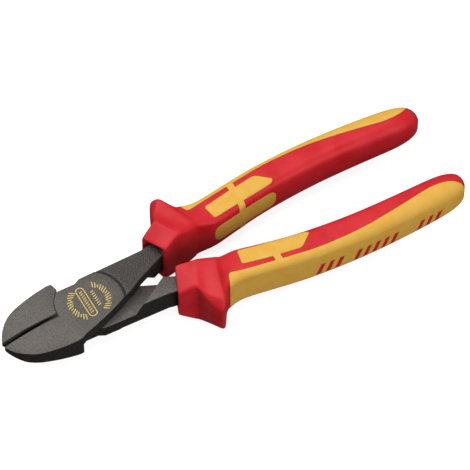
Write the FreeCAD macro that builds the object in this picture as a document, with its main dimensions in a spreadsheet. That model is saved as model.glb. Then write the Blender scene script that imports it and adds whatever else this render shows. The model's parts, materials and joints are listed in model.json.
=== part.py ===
"""Diagonal cutting pliers: two lap-jointed levers, a flush rivet and two two-shot insulated grips.

The jaws point along -X, the grips along +X, and the pivot axis is parallel to Z. The origin is
the middle of the underside of the whole tool, so the joint plane lies at half the guard's height.
Each lever is drawn once in its own frame: x from the jaw tip, y from the tool's axis, z from the
joint plane. The rear lever is the same forging turned half a turn about the X axis.
"""
import FreeCAD, Part
import math
import os

import Sketcher

# Driving dimensions in millimetres: alias, value, meaning.
DIMENSIONS = [
    ("overall_length", 200.0, "jaw tips to grip ends"),
    ("pivot_reach", 38.5, "jaw tips to the pivot axis"),
    ("head_thickness", 11.0, "thickness of the forged head and tang"),
    ("guard_half_height", 13.5, "joint plane to the top of the hand guard"),
    ("joint_radius", 14.0, "radius of each lever's half-thickness disc"),
    ("seam_gap", 0.25, "radial gap between a disc and the other jaw"),
    ("lap_gap", 0.12, "gap between the two lap faces"),
    ("edge_gap", 0.12, "gap between the closed cutting edges"),
    ("tip_width", 1.4, "half width of the closed jaw tip"),
    ("jaw_belly_x", 12.0, "where the jaw's nose curve meets its side"),
    ("jaw_belly_y", 12.3, "half width of the head there"),
    ("nose_radius", 18.0, "radius of the nose curve"),
    ("jaw_side_radius", 65.0, "radius of the jaw's side"),
    ("shoulder_x", 26.0, "widest point of the jaw"),
    ("shoulder_y", 14.6, "half width of the head at its shoulder"),
    ("shoulder_radius", 6.0, "rounding behind the shoulder"),
    ("shoulder_end_x", 30.0, "end of the shoulder's rounding"),
    ("shoulder_end_y", 13.4, "half width at the end of the rounding"),
    ("throat_radius", 140.0, "radius of the edge from shoulder to tang"),
    ("throat_x", 62.0, "where that edge meets the tang"),
    ("throat_y", 0.4, "offset of that point past the axis"),
    ("shoulder_foot_x", 29.5, "inner end of the jaw's lower shoulder"),
    ("notch_y", 10.0, "half width of the head in the notch"),
    ("notch_x", 37.0, "end of the notch's floor"),
    ("neck_x", 39.6, "start of the neck's outer edge"),
    ("neck_y", 11.3, "offset of the neck's outer edge"),
    ("neck_end_x", 68.0, "end of the neck's outer edge"),
    ("neck_end_y", 11.9, "offset of the neck's end"),
    ("step_inner_x", 64.0, "inner end of the step where the neck gets its full thickness"),
    ("step_inner_y", 5.0, "offset of the step's inner end"),
    ("step_outer_x", 51.0, "outer end of that step"),
    ("step_outer_y", 13.0, "offset of the step's outer end"),
    ("step_run", 4.0, "length of the ramp that the step climbs"),
    ("tang_root_x", 75.0, "where the tang enters the grip"),
    ("tang_root_y", 6.1, "offset of the tang's inner edge there"),
    ("tang_end_share", 0.653, "end of the tang as a share of the handle's length"),
    ("tang_half_width", 3.5, "half width of the tang in the grip"),
    ("tang_end_half_width", 2.3, "half width of the tang's end"),
    ("crown_radius", 75.0, "side-view radius of the jaw's top towards the tip"),
    ("crown_start_x", 25.0, "where the jaw's top starts to fall"),
    ("facet_start_x", 10.0, "where the jaw's outer facet starts on the cutting line"),
    ("facet_turn", 38.4, "angle in plan of the facet's inner boundary, in degrees"),
    ("facet_tilt", 14.3, "fall of the facet away from that boundary, in degrees"),
    ("neck_relief", 0.35, "step from the ground joint face down to the forged neck"),
    ("bevel_width", 1.0, "width of each cutting bevel on the jaw's top"),
    ("bevel_full_x", 10.0, "where the bevel reaches that width"),
    ("bevel_end_x", 24.3, "where the bevel runs out at the joint"),
    ("rivet_radius", 5.0, "radius of the rivet's shank"),
    ("rivet_head_radius", 6.4, "radius of its flush countersunk heads"),
    ("rivet_head_depth", 1.4, "depth of the heads"),
    ("running_clearance", 0.05, "radial clearance of the rivet in the rear lever"),
    ("handle_start_x", 99.0, "where the guard's fall ends and the handle starts"),
    ("skin", 1.5, "depth of the soft fields in the grip"),
    ("section_corner", 4.4, "corner radius of the grip's section"),
    ("guard_corner", 3.0, "corner radius of the guard's sections"),
    ("collar_wall", 1.7, "wall of the collar around the tang"),
    ("collar_depth", 7.0, "depth of the collar's mouth"),
    ("strip_start", 92.8, "start of the soft outer strip"),
    ("field_inner", 5.2, "top field's inner edge from the section's centre"),
    ("field_outer", 1.9, "top field's outer edge from the section's centre"),
    ("bridge_offset", 2.0, "start of the bridges across the ribs, behind the index section"),
    ("bridge_width", 2.8, "width of the bridges"),
    ("side_field_half_height", 4.6, "half height of the inner side field"),
    ("mark_count", 14.2, "marks that would fit between the middle and heel sections"),
    ("mark_width", 1.8, "width of one raised mark"),
    ("mark_height", 6.6, "height of one raised mark"),
    ("mark_offset", 3.0, "middle of the marks above the joint plane"),
]

# Sections of the guard: name, x, y, turn about Z in degrees, half width, and half heights on the
# inner and the outer side as shares of the guard's half height.
GUARD_SECTIONS = [
    ("mouth", 72.5, 10.0, 22.0, 6.5, 0.807, 0.585),
    ("collar", 80.2, 12.6, 22.0, 6.1, 1.0, 0.933),
    ("rim", 84.2, 18.6, 21.5, 11.5, 1.0, 0.481),
    ("crest", 87.6, 19.8, 21.3, 11.9, 1.0, 0.622),
    ("saddle", 92.4, 15.4, 20.0, 7.7, 0.83, 0.667),
]
GUARD_FIELDS = ("x", "y", "turn", "half_width", "inner_share", "outer_share")
GUARD = tuple(row[0] for row in GUARD_SECTIONS)

# Sections of the handle: name, place as a share of the handle's length, y, turn, half width and
# half height.
HANDLE_SECTIONS = [
    ("palm", 0.0, 14.0, 16.0, 7.1, 9.1),
    ("index", 0.109, 16.1, 12.0, 6.8, 9.0),
    ("middle", 0.307, 19.2, 6.0, 6.75, 9.0),
    ("ring", 0.505, 20.6, 1.0, 6.6, 9.0),
    ("little", 0.703, 20.3, -2.0, 6.5, 8.9),
    ("heel", 0.896, 19.3, -4.0, 6.3, 8.4),
    ("tail", 0.973, 19.0, -3.0, 4.9, 6.8),
    ("end", 1.0, 18.8, 0.0, 2.6, 4.2),
]
HANDLE_FIELDS = ("share", "y", "turn", "half_width", "half_height")
HANDLE = ("palm", "index", "middle", "ring", "little", "heel")
TAIL = ("heel", "tail", "end")
TANG_STATIONS = ("palm", "index", "middle", "ring")

# The soft outer strip's edge in plan: grip section it follows and offset from its centre.
STRIP_EDGE = [
    ("palm", 4.6), ("index", 4.3), ("middle", 4.3), ("ring", 3.2), ("little", 1.0), ("heel", -0.6),
]

# Places of the raised marks along their row, in steps of the pitch.
MARK_STEPS = (0, 1, 2, 4, 5, 6, 7, 8, 11, 12, 13)

doc = FreeCAD.newDocument("diagonal_cutting_pliers")
sheet = doc.addObject("Spreadsheet::Sheet", "sizes")


class Size:
    """A value together with the spreadsheet expression that drives it."""

    def __init__(self, value, text):
        self.value = value
        self.text = text

    def __add__(self, other):
        other = as_size(other)
        return Size(self.value + other.value, f"({self.text} + {other.text})")

    def __sub__(self, other):
        other = as_size(other)
        return Size(self.value - other.value, f"({self.text} - {other.text})")

    def __mul__(self, other):
        other = as_size(other)
        return Size(self.value * other.value, f"({self.text} * {other.text})")

    def __truediv__(self, other):
        return Size(self.value / other.value, f"({self.text} / {other.text})")

    def __neg__(self):
        return Size(-self.value, f"(0 - {self.text})")

    def root(self):
        return Size(math.sqrt(self.value), f"sqrt({self.text})")


def as_size(number):
    if isinstance(number, Size):
        return number
    return Size(float(number), f"{float(number)}")


def dim(alias):
    """The named cell of the sheet."""
    return Size(float(sheet.get(alias)), f"sizes.{alias}")


def station_x(name):
    """Place of one of the grip's sections along the tool."""
    if name in GUARD:
        return dim(f"{name}_x")
    start = dim("handle_start_x")
    return start + (dim("overall_length") - start) * dim(f"{name}_share")


def half_heights(name):
    """Half heights of a section on its inner and its outer side."""
    if name in GUARD:
        height = dim("guard_half_height")
        return height * dim(f"{name}_inner_share"), height * dim(f"{name}_outer_share")
    height = dim(f"{name}_half_height")
    return height, height


def tang_end_x():
    start = dim("handle_start_x")
    return start + (dim("overall_length") - start) * dim("tang_end_share")


def fill_sheet():
    rows = list(DIMENSIONS)
    for table, fields in ((GUARD_SECTIONS, GUARD_FIELDS), (HANDLE_SECTIONS, HANDLE_FIELDS)):
        for name, *values in table:
            for field, value in zip(fields, values):
                rows.append((f"{name}_{field}", value, f"{name} section of the grip"))
    for row, (alias, value, meaning) in enumerate(rows, start=1):
        sheet.set(f"A{row}", alias)
        sheet.set(f"B{row}", str(value))
        sheet.set(f"C{row}", meaning)
        sheet.setAlias(f"B{row}", alias)
    doc.recompute()


def new_body(name, side):
    """A body whose frame sits at the jaw tip on the joint plane, turned over for the rear lever."""
    body = doc.addObject("PartDesign::Body", name)
    if side == "rear":
        body.Placement.Rotation = FreeCAD.Rotation(FreeCAD.Vector(1, 0, 0), 180)
    body.setExpression("Placement.Base.x", "0 - sizes.overall_length / 2")
    body.setExpression("Placement.Base.z", "sizes.guard_half_height")
    return body


def new_sketch(body, plane, name):
    sketch = body.newObject("Sketcher::SketchObject", name)
    origin_planes = body.Origin.OriginFeatures
    sketch.AttachmentSupport = [(next(f for f in origin_planes if f.Role == plane), "")]
    sketch.MapMode = "FlatFace"
    return sketch


def arc_through(start, end, radius, turn):
    """The short arc from start to end, turning left for turn = 1 and right for turn = -1."""
    chord = end - start
    rise = math.sqrt(radius**2 - (chord.Length / 2) ** 2)
    left = FreeCAD.Vector(-chord.y, chord.x, 0).normalize()
    middle = (start + end) * 0.5
    crown = middle - left * turn * (radius - rise)
    return Part.Arc(start, crown, end)


def draw(sketch, points, arcs=None):
    """A closed outline through points, each bound to the sheet; arcs maps a segment's index
    to its (radius, turn)."""
    arcs = arcs or {}
    spots = [FreeCAD.Vector(x.value, y.value, 0) for x, y in points]
    count = len(points)
    base = sketch.GeometryCount
    first = []
    last = []
    for i, start in enumerate(spots):
        end = spots[(i + 1) % count]
        if i in arcs:
            radius, turn = arcs[i]
            sketch.addGeometry(arc_through(start, end, radius.value, turn), False)
            first.append(1 if turn > 0 else 2)
            last.append(2 if turn > 0 else 1)
        else:
            sketch.addGeometry(Part.LineSegment(start, end), False)
            first.append(1)
            last.append(2)
    bound = []
    for i, (x, y) in enumerate(points):
        after = (i + 1) % count
        joint = (base + i, last[i], base + after, first[after])
        sketch.addConstraint(Sketcher.Constraint("Coincident", *joint))
        spot = (-1, 1, base + i, first[i])
        bound.append((sketch.addConstraint(Sketcher.Constraint("DistanceX", *spot, x.value)), x))
        bound.append((sketch.addConstraint(Sketcher.Constraint("DistanceY", *spot, y.value)), y))
        if i in arcs:
            radius = arcs[i][0]
            circle = Sketcher.Constraint("Radius", base + i, radius.value)
            bound.append((sketch.addConstraint(circle), radius))
    for index, value in bound:
        sketch.setExpression(f"Constraints[{index}]", value.text)


def pad(body, sketch, length, midplane=False):
    feature = body.newObject("PartDesign::Pad", f"{body.Name}_pad")
    feature.Profile = sketch
    feature.setExpression("Length", length.text)
    if midplane:
        feature.SideType = "Symmetric"
    return feature


def pocket(body, sketch, length, reversed_cut, midplane=False):
    """A pocket that must take material away."""
    doc.recompute()
    before = body.Shape.Volume
    feature = body.newObject("PartDesign::Pocket", f"{body.Name}_pocket")
    feature.Profile = sketch
    feature.setExpression("Length", length.text)
    feature.Reversed = reversed_cut
    if midplane:
        feature.SideType = "Symmetric"
    doc.recompute()
    if body.Shape.Volume > before - 1e-6:
        raise RuntimeError(f"{feature.Name} cuts nothing")
    return feature


def lever_outline():
    """Points and arcs of a lever in plan, from the tip round the jaw, tang and neck."""
    edge = -(dim("edge_gap") * 0.5)
    pivot = dim("pivot_reach")
    radius = dim("joint_radius")
    disc_notch_x = pivot - (radius * radius - dim("notch_y") * dim("notch_y")).root()
    disc_edge_x = pivot - (radius * radius - edge * edge).root()
    half = dim("tang_half_width")
    points = [
        (as_size(0.3), edge),
        (as_size(0.0), -dim("tip_width")),
        (dim("jaw_belly_x"), -dim("jaw_belly_y")),
        (dim("shoulder_x"), -dim("shoulder_y")),
        (dim("shoulder_end_x"), -dim("shoulder_end_y")),
        (dim("throat_x"), dim("throat_y")),
    ]
    arcs = {
        1: (dim("nose_radius"), 1),
        2: (dim("jaw_side_radius"), 1),
        3: (dim("shoulder_radius"), 1),
        4: (dim("throat_radius"), 1),
    }
    points.append((dim("tang_root_x"), dim("tang_root_y")))
    for name in TANG_STATIONS:
        points.append((station_x(name), dim(f"{name}_y") - half))
    end = tang_end_x()
    end_y = dim("ring_y")
    points.append((end, end_y - dim("tang_end_half_width")))
    points.append((end, end_y + dim("tang_end_half_width")))
    for name in reversed(TANG_STATIONS):
        points.append((station_x(name), dim(f"{name}_y") + half))
    points.append((dim("neck_end_x"), dim("neck_end_y")))
    points.append((dim("neck_x"), dim("neck_y")))
    points.append((dim("notch_x"), dim("notch_y")))
    arcs[len(points)] = (radius, 1)
    points.append((disc_notch_x, dim("notch_y")))
    points.append((disc_edge_x, edge))
    return points, arcs


def cut_lap(body):
    """Leave only the upper half where the other lever crosses this one, up to a sloping step."""
    pivot = dim("pivot_reach")
    reach = dim("joint_radius") + dim("seam_gap")
    foot = pivot - dim("shoulder_foot_x")
    foot_y = -((reach * reach - foot * foot).root())
    beyond = dim("shoulder_y") + 4.0
    run = dim("step_inner_x") - dim("step_outer_x")
    fall = dim("step_outer_y") - dim("step_inner_y")
    sketches = []
    for level, slope in (("sizes.lap_gap / 2", 0.0), ("0 - sizes.head_thickness / 2", 1.0)):
        ramp = dim("step_run") * slope
        points = [
            (pivot - reach, as_size(0.0)),
            (dim("shoulder_foot_x"), foot_y),
            (dim("shoulder_foot_x") - 2.2, -beyond),
            (dim("step_inner_x") + run + ramp, -beyond),
            (dim("step_inner_x") + run + ramp, dim("step_inner_y") - fall),
            (dim("step_outer_x") - run * 0.5 + ramp, dim("step_outer_y") + fall * 0.5),
            (pivot - reach, dim("step_outer_y") + fall * 0.5),
        ]
        sketch = new_sketch(body, "XY_Plane", f"{body.Name}_lap")
        sketch.setExpression("AttachmentOffset.Base.z", level)
        draw(sketch, points, {0: (reach, 1)})
        sketches.append(sketch)
    doc.recompute()
    before = body.Shape.Volume
    loft = body.newObject("PartDesign::SubtractiveLoft", f"{body.Name}_lap_loft")
    loft.Profile = sketches[0]
    loft.Sections = sketches[1:]
    loft.Ruled = True
    doc.recompute()
    if body.Shape.Volume > before - 1e-6:
        raise RuntimeError(f"{loft.Name} cuts nothing")


def crown_jaw(body):
    """Let both faces of the jaw fall towards the tip along an arc."""
    half = dim("head_thickness") * 0.5
    start = dim("crown_start_x")
    radius = dim("crown_radius")
    past = start + 1.0
    fall = radius - (radius * radius - past * past).root()
    for name, sign in (("top", 1), ("bottom", -1)):
        sketch = new_sketch(body, "XZ_Plane", f"{body.Name}_crown_{name}")
        points = [
            (start, half * sign),
            (as_size(-1.0), (half - fall) * sign),
            (as_size(-1.0), (half + 1.0) * sign),
            (start, (half + 1.0) * sign),
        ]
        draw(sketch, points, {0: (radius, sign)})
        pocket(body, sketch, dim("shoulder_y") * 3.0, False, midplane=True)


def facet_jaw(body):
    """Plane the jaw's outer front corner on both faces, so that it falls outwards."""
    half = dim("head_thickness").value / 2
    corner = FreeCAD.Vector(dim("facet_start_x").value, 0, half)
    turn = FreeCAD.Rotation(FreeCAD.Vector(0, 0, 1), -dim("facet_turn").value)
    for name, sign in (("top", 1), ("bottom", -1)):
        tilt = FreeCAD.Rotation(FreeCAD.Vector(1, 0, 0), dim("facet_tilt").value * sign)
        sketch = new_sketch(body, "XY_Plane", f"{body.Name}_facet_{name}")
        sketch.AttachmentOffset = FreeCAD.Placement(corner, turn * tilt)
        sketch.setExpression("AttachmentOffset.Base.x", "sizes.facet_start_x")
        sketch.setExpression("AttachmentOffset.Base.z", f"{sign} * sizes.head_thickness / 2")
        reach = dim("shoulder_x") * 2.0
        points = [
            (-reach, -reach),
            (reach, -reach),
            (reach, as_size(0.0)),
            (-reach, as_size(0.0)),
        ]
        draw(sketch, points)
        pocket(body, sketch, reach, reversed_cut=sign > 0)


def relieve_neck(body):
    """Step the forged neck and tang down from the ground joint face, on both faces."""
    pivot = dim("pivot_reach")
    radius = dim("joint_radius")
    low = radius * 0.65
    high = radius * 0.9
    beyond = dim("ring_y") + 8.0
    end = tang_end_x() + 1.0
    low_x = pivot + (radius * radius - low * low).root()
    high_x = pivot + (radius * radius - high * high).root()
    points = [(low_x, -low), (end, -low), (end, beyond), (high_x, beyond), (high_x, high)]
    for name, sign in (("top", 1), ("bottom", -1)):
        sketch = new_sketch(body, "XY_Plane", f"{body.Name}_relief_{name}")
        height = (dim("head_thickness") * 0.5 - dim("neck_relief")) * sign
        sketch.setExpression("AttachmentOffset.Base.z", height.text)
        draw(sketch, points, {4: (radius, -1)})
        pocket(body, sketch, dim("head_thickness"), reversed_cut=sign > 0)


def triangle(sketch, width, height, sign):
    """The section of a cutting bevel, open towards the jaw's face."""
    edge = dim("edge_gap") * 0.25
    points = [(edge, as_size(0.0)), (edge, height * sign), (-width, height * sign)]
    draw(sketch, points)


def bevel_edge(body):
    """Grind the cutting edge: a bevel on each face, running out at the joint."""
    height = dim("head_thickness") * 0.5
    ends = [
        ("tip", as_size(-0.5), dim("bevel_width")),
        ("full", dim("bevel_full_x"), dim("bevel_width")),
        ("joint", dim("bevel_end_x"), dim("edge_gap")),
    ]
    for face, sign in (("top", 1), ("bottom", -1)):
        sketches = []
        for name, x, width in ends:
            sketch = new_sketch(body, "YZ_Plane", f"{body.Name}_bevel_{face}_{name}")
            sketch.setExpression("AttachmentOffset.Base.z", x.text)
            triangle(sketch, width, height, sign)
            sketches.append(sketch)
        loft = body.newObject("PartDesign::SubtractiveLoft", f"{body.Name}_bevel_{face}")
        loft.Profile = sketches[0]
        loft.Sections = sketches[1:]
        loft.Ruled = True


def rivet_profile(clearance, half):
    """Half section of the rivet: a shank between two countersunk heads."""
    shank = dim("rivet_radius") + clearance
    head = dim("rivet_head_radius") + clearance
    neck = half - dim("rivet_head_depth")
    return [
        (as_size(0.0), -half),
        (head, -half),
        (shank, -neck),
        (shank, neck),
        (head, half),
        (as_size(0.0), half),
    ]


def build_lever(side, clearance):
    body = new_body(f"{side}_forging", side)
    outline = new_sketch(body, "XY_Plane", f"{side}_lever_outline")
    points, arcs = lever_outline()
    draw(outline, points, arcs)
    pad(body, outline, dim("head_thickness"), midplane=True)
    cut_lap(body)
    crown_jaw(body)
    facet_jaw(body)
    relieve_neck(body)
    bevel_edge(body)
    bore = rivet_form(f"{side}_bore", side, clearance)
    return cut(f"{side}_lever", body, bore)


def rivet_form(name, side, clearance):
    """The rivet's shape on the pivot axis, larger all round by the clearance."""
    body = doc.addObject("PartDesign::Body", name)
    if side == "rear":
        body.Placement.Rotation = FreeCAD.Rotation(FreeCAD.Vector(1, 0, 0), 180)
    body.setExpression("Placement.Base.x", "sizes.pivot_reach - sizes.overall_length / 2")
    body.setExpression("Placement.Base.z", "sizes.guard_half_height")
    sketch = new_sketch(body, "XZ_Plane", f"{name}_profile")
    draw(sketch, rivet_profile(clearance, dim("head_thickness") * 0.5))
    turn = body.newObject("PartDesign::Revolution", f"{name}_turn")
    turn.Profile = sketch
    turn.ReferenceAxis = (sketch, ["V_Axis"])
    turn.Angle = 360
    return body


def cut(name, base, tool):
    feature = doc.addObject("Part::Cut", name)
    feature.Base = base
    feature.Tool = tool
    return feature


def common(name, base, tool):
    feature = doc.addObject("Part::Common", name)
    feature.Base = base
    feature.Tool = tool
    return feature


def fuse(name, shapes):
    feature = doc.addObject("Part::MultiFuse", name)
    feature.Shapes = shapes
    return feature


def section_sketch(body, name, inset):
    """A rounded section of the grip in its own slanted plane, shrunk all round by inset."""
    sketch = new_sketch(body, "YZ_Plane", f"{body.Name}_{name}")
    sketch.AttachmentOffset = FreeCAD.Placement(
        FreeCAD.Vector(0, 0, 0), FreeCAD.Rotation(FreeCAD.Vector(0, 1, 0), 1)
    )
    sketch.setExpression("AttachmentOffset.Base.x", f"sizes.{name}_y")
    sketch.setExpression("AttachmentOffset.Base.z", station_x(name).text)
    sketch.setExpression("AttachmentOffset.Rotation.Angle", f"sizes.{name}_turn * 1 deg")
    width = dim(f"{name}_half_width") - inset
    inner, outer = (height - inset for height in half_heights(name))
    corner = dim("guard_corner") if name in GUARD else dim("section_corner")
    if name in ("tail", "end"):
        corner = dim(f"{name}_half_width") * 0.8
    corner = corner - inset * 0.8
    points = [
        (corner - width, -inner),
        (width - corner, -outer),
        (width, corner - outer),
        (width, outer - corner),
        (width - corner, outer),
        (corner - width, inner),
        (-width, inner - corner),
        (-width, corner - inner),
    ]
    draw(sketch, points, {1: (corner, 1), 3: (corner, 1), 5: (corner, 1), 7: (corner, 1)})
    return sketch


def add_loft(body, name, stations, inset, ruled):
    sketches = [section_sketch(body, station, inset) for station in stations]
    loft = body.newObject("PartDesign::AdditiveLoft", f"{body.Name}_{name}")
    loft.Profile = sketches[0]
    loft.Sections = sketches[1:]
    loft.Ruled = ruled
    doc.recompute()


def grip_form(side):
    """The whole outside of one grip: guard, handle and rounded tail."""
    body = new_body(f"{side}_grip_form", side)
    add_loft(body, "guard", GUARD + HANDLE[:1], as_size(0.0), True)
    add_loft(body, "handle", HANDLE, as_size(0.0), False)
    add_loft(body, "tail", TAIL, as_size(0.0), True)
    return body


def grip_core(side):
    """What lies under the soft skin."""
    body = new_body(f"{side}_grip_core", side)
    add_loft(body, "start", GUARD[4:] + HANDLE[:1], dim("skin"), True)
    add_loft(body, "handle", HANDLE, dim("skin"), False)
    add_loft(body, "end", TAIL[:2], dim("skin"), True)
    return body


def block(name, side, plane, outlines, start, length, reversed_pad=False):
    """Straight blocks over one or more outlines, from start, both bound to the sheet."""
    body = new_body(name, side)
    sketch = new_sketch(body, plane, f"{name}_outline")
    sketch.setExpression("AttachmentOffset.Base.z", start.text)
    for points, arcs in outlines:
        draw(sketch, points, arcs)
    feature = pad(body, sketch, length)
    feature.Reversed = reversed_pad
    return body


def along(name, offset, shift=0.0):
    """A point beside the grip's centre line at one of its sections."""
    return (station_x(name) + shift, dim(f"{name}_y") + offset)


def strip_block(side):
    """Everything outside the soft outer strip's edge, through the whole height."""
    beyond = dim("crest_y") + 16.0
    points = [(dim("strip_start"), dim("saddle_y") + 1.7)]
    points += [along(name, offset) for name, offset in STRIP_EDGE]
    points.append(along("heel", as_size(0.4), 4.0))
    points.append(along("tail", as_size(3.2)))
    points.append((dim("overall_length") + 1.0, dim("end_y") + 8.0))
    points.append((dim("overall_length") + 1.0, beyond))
    points.append((dim("strip_start"), beyond))
    height = dim("guard_half_height")
    return block(f"{side}_strip_block", side, "XY_Plane", [(points, {})], -height, height * 2.0)


def field_block(side, face):
    """The top or bottom soft field with its two bridges, one face of the grip (1 or -1)."""
    inner = -dim("field_inner")
    outer = dim("field_outer")
    field = [
        along("palm", outer),
        along("palm", inner, 1.2),
        along("index", inner),
        along("middle", inner),
        along("middle", inner + 1.0, 0.6),
        along("middle", outer, -5.0),
        along("index", outer),
    ]
    start = station_x("index") + dim("bridge_offset")
    end = start + dim("bridge_width")
    bridge = [
        (start, dim("index_y") + outer - 0.5),
        (end, dim("index_y") + outer - 0.5),
        (end, dim("index_y") + dim("index_half_width")),
        (start, dim("index_y") + dim("index_half_width")),
    ]
    inner_bridge = [
        (start + 1.2, dim("index_y") - dim("index_half_width") - 1.0),
        (end + 1.2, dim("index_y") - dim("index_half_width") - 1.0),
        (end + 1.2, dim("index_y") + inner + 1.0),
        (start + 1.2, dim("index_y") + inner + 1.0),
    ]
    low = dim("side_field_half_height")
    shapes = []
    for part, points in (("field", field), ("outer_bridge", bridge), ("inner_bridge", inner_bridge)):
        bottom = low if part == "inner_bridge" else low + 1.2
        name = f"{side}_{part}_{'top' if face > 0 else 'bottom'}"
        length = dim("guard_half_height") - bottom
        start_z = bottom if face > 0 else -bottom
        shapes.append(block(name, side, "XY_Plane", [(points, {})], start_z, length, face < 0))
    return fuse(f"{side}_field_{'top' if face > 0 else 'bottom'}_blocks", shapes)


def side_block(side):
    """The soft field on the grip's inner side, with rounded ends."""
    half = dim("side_field_half_height")
    start = station_x("palm") + 1.0
    end = station_x("middle")
    corner = half - 0.8
    points = [
        (start + corner, -half),
        (end - corner, -half),
        (end, corner - half),
        (end, half - corner),
        (end - corner, half),
        (start + corner, half),
        (start, half - corner),
        (start, corner - half),
    ]
    arcs = {1: (corner, 1), 3: (corner, 1), 5: (corner, 1), 7: (corner, 1)}
    name = f"{side}_side_block"
    return block(name, side, "XZ_Plane", [(points, arcs)], as_size(0.0), dim("index_y"), True)


def mark_blocks(side):
    """Plain slanted bars where the hard grip shows through the outer strip."""
    lean = dim("mark_height") * 0.36
    low = dim("mark_offset") - dim("mark_height") * 0.5
    high = dim("mark_offset") + dim("mark_height") * 0.5
    start = station_x("middle") - 1.0
    span = station_x("heel") - station_x("middle")
    outlines = []
    for step in MARK_STEPS:
        left = start + span * step / dim("mark_count")
        right = left + dim("mark_width")
        corners = [
            (left + lean * 0.5, low),
            (right + lean * 0.5, low),
            (right - lean * 0.5, high),
            (left - lean * 0.5, high),
        ]
        outlines.append((corners, {}))
    name = f"{side}_mark_blocks"
    return block(name, side, "XZ_Plane", outlines, -dim("ring_y"), dim("crest_y"), True)


def build_grip(side, lever):
    """One insulated grip: the hard body and its soft fields, each flush with the other."""
    form = grip_form(side)
    core = grip_core(side)
    skin = cut(f"{side}_skin", form, core)
    strip_skin = common(f"{side}_strip_skin", skin, strip_block(side))
    strip = cut(f"{side}_outer_inlay", strip_skin, mark_blocks(side))
    faces = {1: "top", -1: "bottom"} if side == "front" else {1: "bottom", -1: "top"}
    inlays = [strip]
    for face, word in faces.items():
        field_skin = common(f"{side}_{word}_skin", skin, field_block(side, face))
        inlays.append(cut(f"{side}_{word}_inlay", field_skin, strip_skin))
    inlays.append(common(f"{side}_inner_inlay", skin, side_block(side)))
    mouth = new_body(f"{side}_mouth", side)
    pad(mouth, section_sketch(mouth, "mouth", dim("collar_wall")), dim("collar_depth"))
    taken = fuse(f"{side}_taken", inlays + [mouth, lever])
    return [cut(f"{side}_grip_body", form, taken)] + inlays


def check(objects):
    """Stop if anything failed or is not a sound solid."""
    for item in doc.Objects:
        if "Invalid" in item.State or "Error" in item.State:
            raise RuntimeError(f"{item.Name} failed: {item.State}")
    for item in objects:
        if item.Shape.isNull() or not item.Shape.isValid() or not item.Shape.Solids:
            raise RuntimeError(f"{item.Label} is not a sound solid")


def main():
    fill_sheet()
    front_lever = build_lever("front", as_size(0.0))
    rear_lever = build_lever("rear", dim("running_clearance"))
    rivet = rivet_form("pivot_rivet", "front", as_size(0.0))
    parts = [front_lever, rear_lever, rivet]
    parts += build_grip("front", front_lever)
    parts += build_grip("rear", rear_lever)
    doc.recompute()
    check(parts)
    os.makedirs("parts", exist_ok=True)
    for item in parts:
        item.Shape.exportStep(f"parts/{item.Label}.step")
        solids = len(item.Shape.Solids)
        print(f"{item.Label}: {solids} solid(s), {item.Shape.Volume:.1f} mm3")


main()
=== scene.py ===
import json
import math

import bmesh
import bpy
from mathutils import Matrix, Vector

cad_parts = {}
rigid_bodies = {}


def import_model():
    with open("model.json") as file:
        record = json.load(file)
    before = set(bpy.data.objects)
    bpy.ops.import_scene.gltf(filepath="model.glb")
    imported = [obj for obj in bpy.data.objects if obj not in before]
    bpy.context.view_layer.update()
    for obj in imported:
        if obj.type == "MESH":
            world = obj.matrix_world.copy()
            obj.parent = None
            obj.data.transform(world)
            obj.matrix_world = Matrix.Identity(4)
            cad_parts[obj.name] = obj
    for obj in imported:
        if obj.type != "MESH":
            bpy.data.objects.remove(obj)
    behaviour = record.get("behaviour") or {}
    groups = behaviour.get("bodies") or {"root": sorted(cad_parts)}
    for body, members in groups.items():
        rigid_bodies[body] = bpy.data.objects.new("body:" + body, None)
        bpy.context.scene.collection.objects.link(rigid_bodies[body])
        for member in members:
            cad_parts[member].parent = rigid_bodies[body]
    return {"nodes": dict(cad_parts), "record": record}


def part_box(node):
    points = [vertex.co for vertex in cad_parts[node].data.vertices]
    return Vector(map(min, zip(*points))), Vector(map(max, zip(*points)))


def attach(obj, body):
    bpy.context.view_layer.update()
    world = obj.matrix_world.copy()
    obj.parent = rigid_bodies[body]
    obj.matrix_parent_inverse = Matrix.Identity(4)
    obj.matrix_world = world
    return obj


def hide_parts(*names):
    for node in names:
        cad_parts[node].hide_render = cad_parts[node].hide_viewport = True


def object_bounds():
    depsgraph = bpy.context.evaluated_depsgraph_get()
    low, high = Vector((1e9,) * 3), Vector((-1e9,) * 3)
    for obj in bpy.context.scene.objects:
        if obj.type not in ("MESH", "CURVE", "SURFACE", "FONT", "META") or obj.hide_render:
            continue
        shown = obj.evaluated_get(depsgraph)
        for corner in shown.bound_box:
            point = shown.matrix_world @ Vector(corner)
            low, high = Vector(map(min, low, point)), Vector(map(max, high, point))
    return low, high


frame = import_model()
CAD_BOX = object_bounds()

bl_info = {
    "name": "Diagonal Cutting Pliers",
    "version": (1, 0, 0),
    "blender": (4, 5, 0),
    "location": "3D View > Sidebar > Pliers",
    "description": "Builds the looks of a pair of insulated diagonal cutting pliers",
    "category": "Object",
}

MM = 0.001

# The drawing is in millimetres: x from the jaw tip, y across, z from the plane of the lap joint.
HALF_LENGTH = round(CAD_BOX[1][0] / MM, 3)
JOINT = frame["record"]["behaviour"]["joints"][0]["pos_m"]
PIVOT_X = round(JOINT[0] / MM + HALF_LENGTH, 3)
PLANE = round(JOINT[2] / MM, 3)
TOOL_AXIS = Vector((0.0, 0.0, PLANE * MM))
JOINT_FACE = round(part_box("front_lever")[1][2] / MM - PLANE, 3)

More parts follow.
